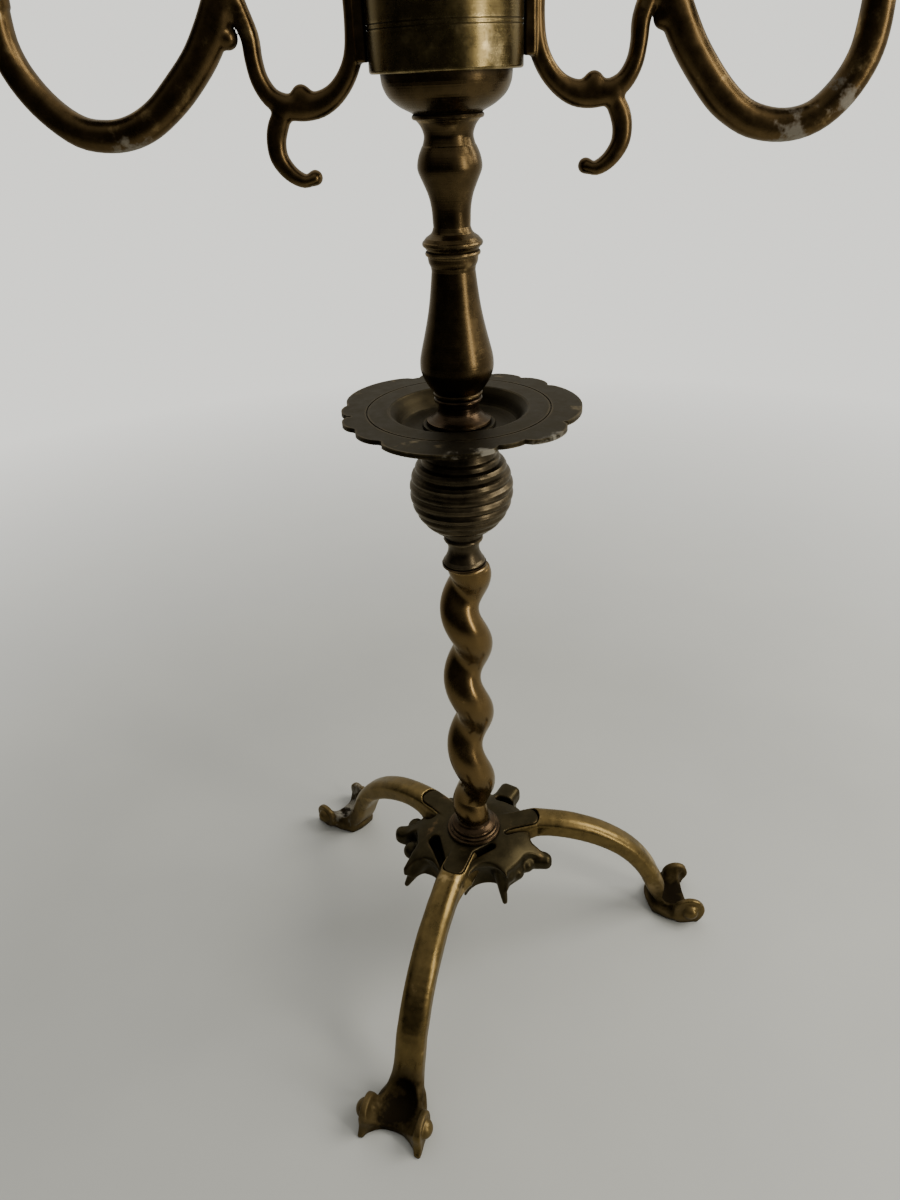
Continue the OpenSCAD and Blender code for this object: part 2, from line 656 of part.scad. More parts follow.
// Ribbed cup for one candle, standing on a pan
cup_depth = 20;
cup_height = 27;
module candle_cup(hole_r, recess_r) {
    floor_z = cup_height - cup_depth;
    turned(concat(
        [[hole_r, 0]],
        arc(7.6, 0.7, 0.7, -90, 60, 4),
        smooth([[7, 1.8], [7.2, 2.6], [9, 3.6]], 3),
        ribbed(14.8, 15, -45, 39, 0.6, 14),
        [[12, 25]],
        arc(12.3, 26, 1, -90, 90, 6),
        [[bore_r, cup_height], [bore_r, floor_z], [recess_r, floor_z], [recess_r, 2.6], [hole_r, 2.6]]));
}

module outer_pan(x) {
    color(dark_brass) translate([x, 0, pan_z]) pan(cup_stud_r + fit_gap);
}
module pan_left() { outer_pan(-reach_left); }
module pan_right() { outer_pan(reach_right); }

module outer_candle_cup(x) {
    color(brass) translate([x, 0, pan_z + 1.4]) candle_cup(cup_stud_r + fit_gap, 6.6);
}
module candle_cup_left() { outer_candle_cup(-reach_left); }
module candle_cup_right() { outer_candle_cup(reach_right); }

// Nuts inside the outer candle cups, which hold them and their pans to the arms
module cup_nuts() {
    color(steel) for (x = [-reach_left, reach_right]) translate([x, 0, pan_z + 4])
        hex_nut(9, 3.6, cup_stud_r + fit_gap);
}

module centre_pan() {
    color(dark_brass) translate([0, 0, centre_pan_z]) pan(rod_r + fit_gap);
}

module centre_candle_cup() {
    color(brass) translate([0, 0, centre_pan_z + 1.4]) candle_cup(rod_r + fit_gap, 6.6);
}

module rod_nut() {
    color(steel) translate([0, 0, centre_pan_z + 4]) hex_nut(10, 3.6, rod_r + fit_gap);
}

// ---------------------------------------------------------------- nodes

hub();
leg_front();
leg_right();
leg_back();
leg_screws();
hub_washer();
hub_nut();
foot_stud();
base_collar();
column();
head_stud();
column_washer();
ribbed_socket();
drip_tray();
nozzle();
plug();
plug_nut();
vase();
baluster();
branch_rod();
bowl();
drum();
drum_lid();
arm_left();
arm_right();
arm_screws();
centre_pan();
centre_candle_cup();
rod_nut();
pan_left();
pan_right();
candle_cup_left();
candle_cup_right();
cup_nuts();
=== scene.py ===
import math
from collections import namedtuple

import bpy
import numpy as np
from mathutils import Matrix, Vector


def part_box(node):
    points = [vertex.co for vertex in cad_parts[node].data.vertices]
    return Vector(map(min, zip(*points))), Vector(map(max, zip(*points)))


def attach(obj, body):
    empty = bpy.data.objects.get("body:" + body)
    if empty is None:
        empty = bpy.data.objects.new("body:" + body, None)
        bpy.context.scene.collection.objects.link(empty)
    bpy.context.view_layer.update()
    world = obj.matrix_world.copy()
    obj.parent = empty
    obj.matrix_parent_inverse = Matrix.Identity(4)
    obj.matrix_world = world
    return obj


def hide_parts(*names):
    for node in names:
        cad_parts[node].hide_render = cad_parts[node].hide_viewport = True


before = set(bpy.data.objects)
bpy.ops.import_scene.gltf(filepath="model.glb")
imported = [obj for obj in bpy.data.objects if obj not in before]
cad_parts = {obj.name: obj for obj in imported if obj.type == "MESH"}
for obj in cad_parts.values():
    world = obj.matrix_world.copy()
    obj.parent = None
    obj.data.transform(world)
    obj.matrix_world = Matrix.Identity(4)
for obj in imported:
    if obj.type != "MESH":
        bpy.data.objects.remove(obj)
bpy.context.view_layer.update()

MM = 0.001

# The same sizes as in part.scad, in millimetres
HUB_HEIGHT = 62.0
TONGUE_UNDERSIDE = 57.6     # the hub's three tongues lie on the legs
COLUMN_BASE = 70.0
COLUMN_TOP = 204.0
TRAY_HEIGHT = 266.0
DRUM_HEIGHT = 366.0
DRUM_RADIUS = 22.25
PAN_HEIGHT = 398.0
REACH_LEFT = 125.5          # of the arms, to the middle of their candles
REACH_RIGHT = 121.0


# ---------------------------------------------------------------- camera, floor and light

def make_camera():
    """Camera in front of the object and above it, that looks down at the foot."""
    place = Vector((0, -293.4, 366.8)) * MM
    yaw, pitch, roll = (math.radians(angle) for angle in (-1.206, 31.423, -2.719))
    data = bpy.data.cameras.new("camera")
    data.sensor_width = 36.0
    data.lens = 26.1
    data.clip_start = 0.01
    camera = bpy.data.objects.new("camera", data)
    bpy.context.scene.collection.objects.link(camera)
    forward = Vector((math.sin(yaw) * math.cos(pitch), math.cos(yaw) * math.cos(pitch), -math.sin(pitch)))
    level = Vector((math.cos(yaw), -math.sin(yaw), 0))
    up = level.cross(forward)
    right = math.cos(roll) * level + math.sin(roll) * up
    up = right.cross(forward)
    turn = Matrix((right, up, -forward)).transposed().to_4x4()
    camera.matrix_world = Matrix.Translation(place) @ turn
    bpy.context.scene.camera = camera


class Graph:
    """Short way to write a node tree. A value is a number, a node or a socket."""

    def __init__(self, owner):
        owner.use_nodes = True
        self.tree = owner.node_tree
        self.tree.nodes.clear()

    def node(self, kind, inputs=(), **settings):
        made = self.tree.nodes.new(kind)
        for name, value in settings.items():
            setattr(made, name, value)
        for name, value in dict(inputs).items():
            self.put(made.inputs[name], value)
        return made

    def put(self, socket, value):
        if isinstance(value, bpy.types.Node):
            value = value.outputs[0]
        if isinstance(value, bpy.types.NodeSocket):
            self.tree.links.new(value, socket)
        else:
            socket.default_value = value

    def math(self, operation, a, b, clamp=False):
        return self.node("ShaderNodeMath", {0: a, 1: b}, operation=operation, use_clamp=clamp).outputs[0]

    def ramp(self, value, low, high, to_low=0.0, to_high=1.0):
        """Straight ramp from to_low to to_high as value goes from low to high."""
        return self.node("ShaderNodeMapRange", {"Value": value, "From Min": low, "From Max": high,
                                                "To Min": to_low, "To Max": to_high}).outputs[0]

    def mix(self, factor, a, b):
        made = self.node("ShaderNodeMix", data_type="RGBA")
        self.put(made.inputs["Factor"], factor)
        self.put(made.inputs["A"], a)
        self.put(made.inputs["B"], b)
        return made.outputs["Result"]

    def noise(self, where, scale, detail, roughness=0.55, distortion=0.0):
        return self.node("ShaderNodeTexNoise", {"Vector": where, "Scale": scale, "Detail": detail,
                                                "Roughness": roughness, "Distortion": distortion}).outputs[0]


def colour(red, green, blue):
    return (red, green, blue, 1.0)


def make_floor():
    """Pale floor that fades into the pale backdrop further out."""
    radius = 2.0
    fade_start = 0.22
    fade_end = 0.90
    fade_power = 1.2
    bpy.ops.mesh.primitive_circle_add(vertices=96, radius=radius, fill_type="NGON")
    floor = bpy.context.object
    floor.name = "floor"
    material = bpy.data.materials.new("floor")
    g = Graph(material)
    where = g.node("ShaderNodeTexCoord").outputs["Object"]
    length = g.node("ShaderNodeVectorMath", {0: where}, operation="LENGTH").outputs["Value"]
    fade = g.math("POWER", g.ramp(length, fade_start, fade_end), fade_power)
    tone = g.noise(where, 9.0, 4.0)
    paint = g.mix(g.ramp(tone, 0.3, 0.7), colour(0.485, 0.49, 0.455), colour(0.52, 0.525, 0.485))
    shader = g.node("ShaderNodeBsdfPrincipled", {"Base Color": paint, "Roughness": 0.55})
    clear = g.node("ShaderNodeBsdfTransparent")
    both = g.node("ShaderNodeMixShader", {0: fade, 1: shader, 2: clear})
    g.node("ShaderNodeOutputMaterial", {"Surface": both})
    floor.data.materials.append(material)


def make_world():
    """Soft surroundings, bright behind, above and to the right; the camera sees a plain backdrop."""
    dim_side = 0.02
    world = bpy.data.worlds.new("world")
    bpy.context.scene.world = world
    g = Graph(world)
    way = g.node("ShaderNodeTexCoord").outputs["Generated"]
    parts = g.node("ShaderNodeSeparateXYZ", {0: way})
    x, y, z = parts.outputs
    behind = g.ramp(y, 0.0, 0.8, 0.0, 0.60)
    beside = g.ramp(x, 0.3, 0.95, 0.0, 0.50)
    above = g.ramp(z, 0.25, 0.9, 0.0, 0.50)
    total = g.math("ADD", g.math("ADD", behind, beside), g.math("ADD", above, dim_side))
    light = g.node("ShaderNodeBackground", {"Color": colour(1.0, 0.985, 0.95), "Strength": total})
    backdrop = g.node("ShaderNodeBackground", {"Color": colour(1.27, 1.26, 1.18), "Strength": 1.0})
    camera_ray = g.node("ShaderNodeLightPath").outputs["Is Camera Ray"]
    both = g.node("ShaderNodeMixShader", {0: camera_ray, 1: light, 2: backdrop})
    g.node("ShaderNodeOutputWorld", {"Surface": both})


def make_light(name, at, size, energy, tint):
    """Rectangular light that faces the middle of the object."""
    middle = Vector((0, 0, 0.2))
    data = bpy.data.lights.new(name, "AREA")
    data.energy = energy
    data.shape = "RECTANGLE"
    data.size, data.size_y = size
    data.color = tint
    light = bpy.data.objects.new(name, data)
    bpy.context.scene.collection.objects.link(light)
    light.location = at
    light.rotation_euler = (middle - Vector(at)).to_track_quat("-Z", "Y").to_euler()


# ---------------------------------------------------------------- solid fields (millimetres)
# A field gives the distance to a surface: below zero inside. p is the three arrays x, y, z.

def soft_min(a, b, k):
    """Union of two solids, with a fillet about k wide."""
    h = np.clip(0.5 + 0.5 * (b - a) / k, 0, 1)
    return b + (a - b) * h - k * h * (1 - h)


def soft_max(a, b, k):
    """What two solids share, with its edge rounded; -b takes b away."""
    return -soft_min(-a, -b, k)


def around(p, azimuth):
    """Coordinates outward along an azimuth, across it and up."""
    c, s = math.cos(math.radians(azimuth)), math.sin(math.radians(azimuth))
    return p[0] * c + p[1] * s, p[1] * c - p[0] * s, p[2]


def polar(radius, azimuth, z):
    return radius * math.cos(math.radians(azimuth)), radius * math.sin(math.radians(azimuth)), z


def ball(p, at, r):
    return np.sqrt((p[0] - at[0]) ** 2 + (p[1] - at[1]) ** 2 + (p[2] - at[2]) ** 2) - r


def rod(p, a, b, ra, rb):
    """Round rod from a to b whose radius goes from ra to rb."""
    d = [b[i] - a[i] for i in range(len(a))]
    t = sum((p[i] - a[i]) * d[i] for i in range(len(a))) / sum(v * v for v in d)
    t = np.clip(t, 0, 1)
    gap = np.sqrt(sum((p[i] - a[i] - t * d[i]) ** 2 for i in range(len(a))))
    return gap - (ra + (rb - ra) * t)


def egg(p, radii):
    """Ellipsoid about the origin."""
    return (np.sqrt(sum((v / r) ** 2 for v, r in zip(p, radii))) - 1) * min(radii)


def block(p, low, high, r):
    """Box with rounded edges."""
    q = [np.abs(p[i] - (low[i] + high[i]) / 2) - (high[i] - low[i]) / 2 + r for i in range(3)]
    outside = np.sqrt(sum(np.maximum(v, 0) ** 2 for v in q))
    return outside + np.minimum(np.maximum(q[0], np.maximum(q[1], q[2])), 0) - r


def squarish(a, b, power):
    """Like the length of (a, b), but what is 1 long makes a square with round corners."""
    return (a ** power + b ** power) ** (1 / power)


def bezier(points, count):
    """Points along a cubic Bezier curve."""
    a, b, c, d = (np.array(v, float) for v in points)
    t = np.linspace(0, 1, count)[:, None]
    return a * (1 - t) ** 3 + 3 * b * t * (1 - t) ** 2 + 3 * c * t * t * (1 - t) + d * t ** 3


def smooth_line(points, steps=4):
    """Catmull-Rom line through points of any size."""
    p = np.array(points, float)
    out = []
    for i in range(len(p) - 1):
        a, b, c, d = p[max(i - 1, 0)], p[i], p[i + 1], p[min(i + 2, len(p) - 1)]
        for t in np.arange(steps) / steps:
            out.append(0.5 * (2 * b + (c - a) * t + (2 * a - 5 * b + 4 * c - d) * t ** 2
                              + (3 * b - a - 3 * c + d) * t ** 3))
    return np.array(out + [p[-1]])


def near_line(x, z, line):
    """Distance to a line in the x-z plane, signed by its side, and how far along (in points)."""
    best = np.full(x.shape, 1e9)
    side = np.zeros(x.shape)
    where = np.zeros(x.shape)
    for i in range(len(line) - 1):
        (x0, z0), (x1, z1) = line[i][:2], line[i + 1][:2]
        dx, dz = x1 - x0, z1 - z0
        t = np.clip(((x - x0) * dx + (z - z0) * dz) / (dx * dx + dz * dz), 0, 1)
        gx, gz = x - x0 - t * dx, z - z0 - t * dz
        d = gx * gx + gz * gz
        nearer = d < best
        best = np.where(nearer, d, best)
        side = np.where(nearer, np.sign(dx * gz - dz * gx), side)
        where = np.where(nearer, i + t, where)
    return np.sqrt(best), side, where


def ripple(p, size, height):
    """Slight unevenness of a sand casting."""
    x, y, z = (v / size for v in p)
    wave = np.sin(x * 1.7 + 1.3 * np.sin(y * 1.1 + 0.6)) * np.sin(y * 1.9 + 1.1 * np.sin(z * 1.3))
    return height * (wave + 0.6 * np.sin(z * 2.3 + 1.7 * np.sin(x * 0.9 + 2.0)))


# ---------------------------------------------------------------- from field to mesh

def sample(field, low, high, cell):
    """Field values on a grid, exact near the surface and rough elsewhere, and the grid's corner."""
    step = 4
    band = 2.2 * step * cell
    coarse = [np.arange(a, b + step * cell, step * cell) for a, b in zip(low, high)]
    grid = np.meshgrid(*coarse, indexing="ij")
    rough = field(tuple(grid))
    near = np.abs(rough) < band
    wide = near.copy()
    for axis in range(3):
        wide |= np.roll(near, 1, axis) | np.roll(near, -1, axis)
    values = rough
    for axis in range(3):
        values = np.repeat(values, step, axis)
        wide = np.repeat(wide, step, axis)
    index = np.nonzero(wide)
    offset = step // 2
    points = tuple(low[a] + (index[a] - offset) * cell for a in range(3))
    values = values.copy()
    values[index] = field(points)
    return values, [a - offset * cell for a in low]


def surface_net(field, low, high, cell):
    """Vertices and quads of the field's zero surface: one vertex in each cell that it crosses."""
    values, start = sample(field, low, high, cell)
    inside = values < 0
    shape = np.array(values.shape) - 1
    corners = [(i, j, k) for i in (0, 1) for j in (0, 1) for k in (0, 1)]

    def corner(array, c):
        return array[c[0]:c[0] + shape[0], c[1]:c[1] + shape[1], c[2]:c[2] + shape[2]]

    count = sum(corner(inside, c).astype(np.int8) for c in corners)
    cells = np.nonzero((count > 0) & (count < 8))
    total = np.zeros((len(cells[0]), 3))
    crossings = np.zeros(len(cells[0]))
    for a in corners:
        for axis in range(3):
            if a[axis]:
                continue
            b = tuple(v + (1 if n == axis else 0) for n, v in enumerate(a))
            va = corner(values, a)[cells]
            vb = corner(values, b)[cells]
            cut = (va < 0) != (vb < 0)
            t = np.where(cut, va / np.where(cut, va - vb, 1), 0)
            for n in range(3):
                total[:, n] += np.where(cut, a[n] + (t if n == axis else 0), 0)
            crossings += cut
    points = (total / crossings[:, None] + np.stack(cells, 1)) * cell + np.array(start)
    number = np.full(tuple(shape), -1)
    number[cells] = np.arange(len(cells[0]))
    quads = []
    for axis in range(3):
        u, v = (axis + 1) % 3, (axis + 2) % 3
        first = np.moveaxis(inside, (axis, u, v), (0, 1, 2))
        numbers = np.moveaxis(number, (axis, u, v), (0, 1, 2))
        lower = first[:-1, 1:-1, 1:-1]
        upper = first[1:, 1:-1, 1:-1]
        for at, flip in ((np.nonzero(lower & ~upper), False), (np.nonzero(~lower & upper), True)):
            i, j, k = at[0], at[1] + 1, at[2] + 1
            ring = [numbers[i, j - 1, k - 1], numbers[i, j, k - 1],
                    numbers[i, j, k], numbers[i, j - 1, k]]
            quads.append(np.stack(ring[::-1] if flip else ring, 1))
    return settle(points, field, cell), np.concatenate(quads)


def settle(points, field, cell):
    """Moves the vertices onto the true surface, in two short steps along the field's slope."""
    near = 0.15 * cell
    longest = 0.5 * cell
    least_steepness = 0.2
    for _ in range(2):
        here = field(tuple(points.T))
        slope = np.zeros_like(points)
        for axis in range(3):
            shift = np.zeros(3)
            shift[axis] = near
            ahead = field(tuple((points + shift).T))
            behind = field(tuple((points - shift).T))
            slope[:, axis] = (ahead - behind) / (2 * near)
        steep = np.maximum((slope ** 2).sum(1), least_steepness)
        move = -(here / steep)[:, None] * slope
        points = points + np.clip(move, -longest, longest)
    return points


def quad_mesh(name, points, faces):
    """Mesh from an array of points in millimetres and an array of four-cornered faces."""
    mesh = bpy.data.meshes.new(name)
    mesh.vertices.add(len(points))
    mesh.vertices.foreach_set("co", (points * MM).ravel())
    mesh.loops.add(faces.size)
    mesh.loops.foreach_set("vertex_index", faces.ravel())
    mesh.polygons.add(len(faces))
    mesh.polygons.foreach_set("loop_start", np.arange(len(faces)) * faces.shape[1])
    mesh.update(calc_edges=True)
    return mesh


def place(mesh, body, node, slot, material):
    """Makes a smooth piece that moves with a body and stands in for a CAD node."""
    mesh.validate()
    mesh.polygons.foreach_set("use_smooth", np.ones(len(mesh.polygons), bool))
    piece = bpy.data.objects.new(mesh.name, mesh)
    bpy.context.scene.collection.objects.link(piece)
    piece.data.materials.append(material)
    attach(piece, body)
    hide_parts(node)


def cast_piece(name, field, low, high, cell, body, node, slot, material):
    """Piece whose shape is a field between two corners, on a grid of so many millimetres."""
    points, faces = surface_net(field, low, high, cell)
    place(quad_mesh(name, points, faces), body, node, slot, material)


# ---------------------------------------------------------------- legs

# The legs are bent by hand, each a little differently. reach is the distance of the foot's ears, and
# shin the distance that the shin is drawn for; hub_side and toe_side are sideways places at the leg's
# ends; tip is how far the ears' points reach forward, bulge how far the foot's sides bulge, and
# tongue_end where the hub's tongue ends.
Leg = namedtuple("Leg", "azimuth reach shin hub_side toe_side tip bulge tongue_end")
LEGS = {
    "leg_front": Leg(-109.5, 109.2, 109.6, -1.6, 0.0, 7.2, 0.0, 29.2),
    "leg_right": Leg(4.5, 104.2, 109.0, 4.6, -2.9, 2.8, 2.8, 31.6),
    "leg_back": Leg(134.0, 105.5, 106.5, -0.5, 2.0, 5.4, 0.8, 33.5),
}
UPPER_POINTS = 22
LOWER_POINTS = 30
LEG_BEND = 30           # distance from the axis at which the leg bends sideways
CASTING_GRID = 0.5


def leg_line(shin):
    """Middle line of a leg seen from the side: an arched upper part and a shin that runs out flat."""
    knee = (shin - 24, 25.5)
    upper = bezier([(13, 57.0), (shin - 62, 61.3), (shin - 35, 47.5), knee], UPPER_POINTS)
    lower = bezier([knee, (shin - 18.2, 12.5), (shin - 17.0, 5.2), (shin - 7, 4.7)], LOWER_POINTS)
    return np.vstack([upper, lower[1:]])


def leg_bar(p, line):
    """The leg: flat beneath, with a soft ridge and two bevels on top."""
    x, t, z = p
    distance, side, where = near_line(x, z, line)
    n = distance * side
    # s runs from 0 at the hub over 1 at the knee to 2 at the foot
    s = np.where(where < UPPER_POINTS - 1, where / (UPPER_POINTS - 1),
                 1 + (where - UPPER_POINTS + 1) / (LOWER_POINTS - 1))
    # the leg widens a little down to the knee, and much more into the foot
    width = 11.6 + 1.2 * np.clip(s, 0, 1) + 6.5 * np.clip((s - 1.3) / 0.7, 0, 1) ** 1.7
    # it also widens under the hub's edge, and flares out there on its right-hand side
    width = width + 3.0 * np.clip((38 - x) / 12, 0, 1) ** 2 * np.clip((61 - z) / 6, 0, 1)
    flare = 3.2 * np.clip((44 - x) / 18, 0, 1) ** 2 * np.clip((58 - z) / 8, 0, 1)
    depth = 10.6 - 1.6 * np.clip(s, 0, 1) - 1.8 * np.clip(s - 1.3, 0, 1)
    a = np.abs(t)
    flat = soft_max(a - width / 2 - flare * (t > 0), np.abs(n) - depth / 2, 3.0)
    bevel = a * 0.62 + n * 0.78 - (width * 0.31 + depth * 0.39) * 0.80
    return soft_max(flat, bevel, 1.6)


def foot_cup(p, leg):
    """Cup behind the ears: an egg-shaped shell, low behind and rising to the ears."""
    x, t, z = p
    outer = egg((x - leg.reach + 5.0, t, z - 4.0), (13.4, 11.4 + leg.bulge, 8.6))
    inner = egg((x - leg.reach + 3.4, t, z - 9.5), (10.6, 8.8 + leg.bulge, 8.0))
    rim = z - 4.2 - 6.0 * np.clip((x - leg.reach + 5.0) / 5.0, 0, 1) ** 2
    front = x - leg.reach + 0.5
    return soft_max(soft_max(outer, -inner, 1.0), soft_max(front, 0.7 * rim, 1.0), 1.2)


def foot(p, leg):
    """Dished sole that rises to an ear on each side; each ear has a point in front and a domed button."""
    x, t, z = p
    reach = leg.reach
    ear_side = 12.0
    ear_height = 6.6
    ear_radius = 6.1 + 0.45 * leg.bulge * (t < 0)
    a = np.abs(t)
    # an ear seen from the side, with its point
    point = rod((x, z), (reach + 0.5, ear_height - 1.5), (reach + leg.tip, 0.5), 4.8, 1.0)
    plate = soft_min(np.sqrt((x - reach) ** 2 + (z - ear_height) ** 2) - ear_radius, point, 1.5)
    # the lip between the ears, low and set back in the middle
    rise = np.clip(a / 11.8, 0, 1.15)
    top = 2.7 + 9.4 * rise ** 2.4
    saddle = (z - top) / np.sqrt(1 + (1.9 * rise ** 1.4) ** 2)
    front = (x - reach - leg.tip + 5.4 - 6.0 * rise ** 2) * 0.8
    lip = soft_max(soft_max(plate, saddle, 1.2), soft_max(a - 12.7, front, 0.8), 0.8)
    # the ears lean outwards
    lean = a - ear_side - 0.05 * (ear_height - z)
    flange = soft_max(plate, np.abs(lean) - 1.3, 0.9)
    button = soft_max(ball((x, a, z), (reach, 12.3, ear_height + 0.2), 4.2), -lean, 0.5)
    sole = block((x, t, z), (reach - 16, -7.4, -1), (reach + 1, 7.4, 2.9), 1.3)
    out = soft_min(soft_min(lip, flange, 1.5), sole, 2.4)
    out = soft_min(out, foot_cup(p, leg), 2.4)
    return np.minimum(out, button)


def leg_side(x, leg):
    """Sideways place of the leg's middle line: it leaves the hub at a slant and is a little bent."""
    slant = leg.hub_side * x / LEG_BEND
    bent = leg.hub_side + (leg.toe_side - leg.hub_side) * np.clip((x - LEG_BEND) / 75, 0, 1.2)
    return np.where(x < LEG_BEND, slant, bent)


def tongue_step(p, leg):
    """Room for the hub's tongue, which lies in a step of the leg."""
    slant = math.degrees(math.atan2(leg.hub_side, LEG_BEND))
    low = (0, -5.1, TONGUE_UNDERSIDE - 0.2)
    high = (leg.tongue_end + 0.22, 5.1, 80)
    return block(around(p, leg.azimuth + slant), low, high, 4.2)


def leg_field(leg):
    line = leg_line(leg.shin)

    def field(p):
        x, t, z = around(p, leg.azimuth)
        t = t - leg_side(x, leg)
        q = (x, t, z)
        bowl = egg((x - leg.reach + 3.0, t, z - 10.0), (10.5, 8.6 + leg.bulge, 8.2))
        out = soft_min(soft_max(leg_bar(q, line), -bowl, 1.2), foot(q, leg), 1.8)
        out = soft_max(out, -tongue_step(p, leg), 0.3)
        # the leg starts beside the hub's middle and stands on the floor
        out = np.maximum(out, 13.2 - x)
        out = out + ripple(p, 6.0, 0.06)
        return np.maximum(out, -z)
    return field


def make_legs(material):
    for node, leg in LEGS.items():
        (x0, y0, _), (x1, y1, z1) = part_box(node)
        low = (x0 / MM - 5, y0 / MM - 5, -1)
        high = (x1 / MM + 5, y1 / MM + 5, z1 / MM + 1.5)
        name = "leg_cast" + node[3:]
        cast_piece(name, leg_field(leg), low, high, CASTING_GRID, "stand", node, "cast_brass", material)


# ---------------------------------------------------------------- hub

# bars: start x, y, end x, y, width, lowest and highest z
LUGS = [(18, -9.6, 35.6, -11.2, 6.8, 46.3, 53.6), (-20, 7.2, -38, 8.0, 7.2, 46.3, 54.0),
        (10, 15, 20.2, 31.5, 10.4, 50.5, 59.4)]
# x, y, z and radius of a tapered spike's tip and of where it starts
SPIKES = [(13.0, -25.4, 40.2, 1.1, 11.0, -19.0, 54, 3.4),
          (-32.4, -13.8, 40.6, 1.2, -24.5, -9.6, 53, 4.6)]
# x, y, z and radius of the knobs on the edge
KNUCKLES = [(18.6, -17.0, 50.2, 3.8), (14.8, -20.0, 51.5, 3.2), (23.5, -12.6, 50.0, 3.8),
            (-29.5, -2.0, 50.0, 4.2), (-28.0, 12.0, 51.0, 4.0), (8, 27, 51, 4.0)]
# x, y and radius of the scallops in the edge
SCALLOPS = [(-24.8, -21.8, 7.4), (5.0, -28.9, 8.6), (31.5, -1.5, 5.4), (-33.0, 20.5, 6.0),
            (-37.6, -4.6, 4.4), (31.0, 21.0, 7.6), (-4.0, 32.6, 8.6)]
# both ends' x, y and radius of the long hollows beside the tongues
HOLLOWS = [(-18.6, -6.0, 2.6, -14.6, -19.6, 1.4), (7.4, -11.6, 1.8, -4.8, -19.4, 1.9),
           (15.4, -3.4, 1.2, 26.6, 2.4, 1.8), (13.0, 21.0, 1.8, 25.4, 16.4, 1.6),
           (-22.8, 21.4, 1.2, -20.6, 11.2, 2.6), (0.5, 17.5, 2.0, -10.5, 26.0, 1.6)]
# azimuth and end of the tongues that lie on the legs
TONGUES = [(-112.6, 28.8), (13.2, 31.2), (133.1, 33.1)]


def hub_plan(p):
    """The hub seen from above: a disc with lugs and spikes, and scallops that are widest half-way up."""
    x, y, z = p
    disc_radius = 27.0
    lug_share = 0.86        # how much of a lug the dome runs out along
    plan = np.sqrt(x * x + y * y) - disc_radius
    for x0, y0, x1, y1, width, _, _ in LUGS:
        lug = rod((x, y), (x0, y0), (lug_share * x1, lug_share * y1), width / 2, width / 2 - 0.8)
        plan = soft_min(plan, lug, 3.0)
    for x1, y1, _, _, x0, y0, _, width in SPIKES:
        plan = soft_min(plan, rod((x, y), (x0, y0), (x1, y1), width, 1.0), 2.4)
    for sx, sy, size in SCALLOPS:
        cove = size + 2.0 * np.sin(math.pi * np.clip((z - 44) / 14, 0, 1))
        plan = soft_max(plan, cove - np.sqrt((x - sx) ** 2 + (y - sy) ** 2), 1.0)
    return plan


def hub_lug(p, lug):
    """Square bar that sticks out of the hub's edge."""
    x0, y0, x1, y1, width, low, high = lug
    azimuth = math.degrees(math.atan2(y1 - y0, x1 - x0))
    start, side, _ = around((x0, y0, 0), azimuth)
    end = start + math.hypot(x1 - x0, y1 - y0)
    return block(around(p, azimuth), (start, side - width / 2, low), (end, side + width / 2, high), 3.0)


def hub_field(p):
    x, y, z = p
    r = np.sqrt(x * x + y * y)
    # a shallow dome, hollow beneath
    under = 45.6 + 0.10 * np.clip(r - 24, 0, 20)
    roof = HUB_HEIGHT - 0.1 - 0.019 * np.maximum(r - 12.5, 0) ** 2
    out = soft_max(hub_plan(p), soft_max(z - roof, under - z, 1.0), 1.3)
    cavity = (squarish(r / 18.5, np.abs(z - 38) / 15, 2.6) - 1) * 15
    out = soft_max(out, -cavity, 1.0)
    for lug in LUGS:
        out = soft_min(out, hub_lug(p, lug), 1.6)
    for x1, y1, z1, tip, x0, y0, z0, root in SPIKES:
        out = soft_min(out, rod(p, (x0, y0, z0), (x1, y1, z1), root, tip), 1.8)
    for kx, ky, kz, size in KNUCKLES:
        out = soft_min(out, ball(p, (kx, ky, kz), size), 1.4)
    for x0, y0, w0, x1, y1, w1 in HOLLOWS:
        slot = rod((x, y), (x0, y0), (x1, y1), w0, w1)
        out = soft_max(out, -soft_max(slot, 54 - z, 1.0), 0.9)
    # each leg lies in a channel, under a tongue
    for azimuth, end in TONGUES:
        q = around(p, azimuth)
        channel = block(q, (12.8, -5.0, 36), (60, 5.0, TONGUE_UNDERSIDE + 0.1), 0.6)
        out = np.maximum(out, -channel)
        tongue = block(q, (4, -4.9, TONGUE_UNDERSIDE + 0.1), (end, 4.9, 66), 4.0)
        out = soft_min(out, soft_max(tongue, z - HUB_HEIGHT + 0.3, 0.5), 0.6)
    boss = np.maximum(r - 9.5, np.maximum(z - 61.9, 50.2 - z))
    out = np.minimum(out, boss)
    out = soft_max(out, z - HUB_HEIGHT + 0.1, 0.5)
    return out + ripple(p, 5.0, 0.07)


def make_hub(material):
    low = (-42, -32, 37)
    high = (40, 40, 64)
    grid = 0.45
    cast_piece("hub_cast", hub_field, low, high, grid, "stand", "hub", "cast_brass", material)


# ---------------------------------------------------------------- arms

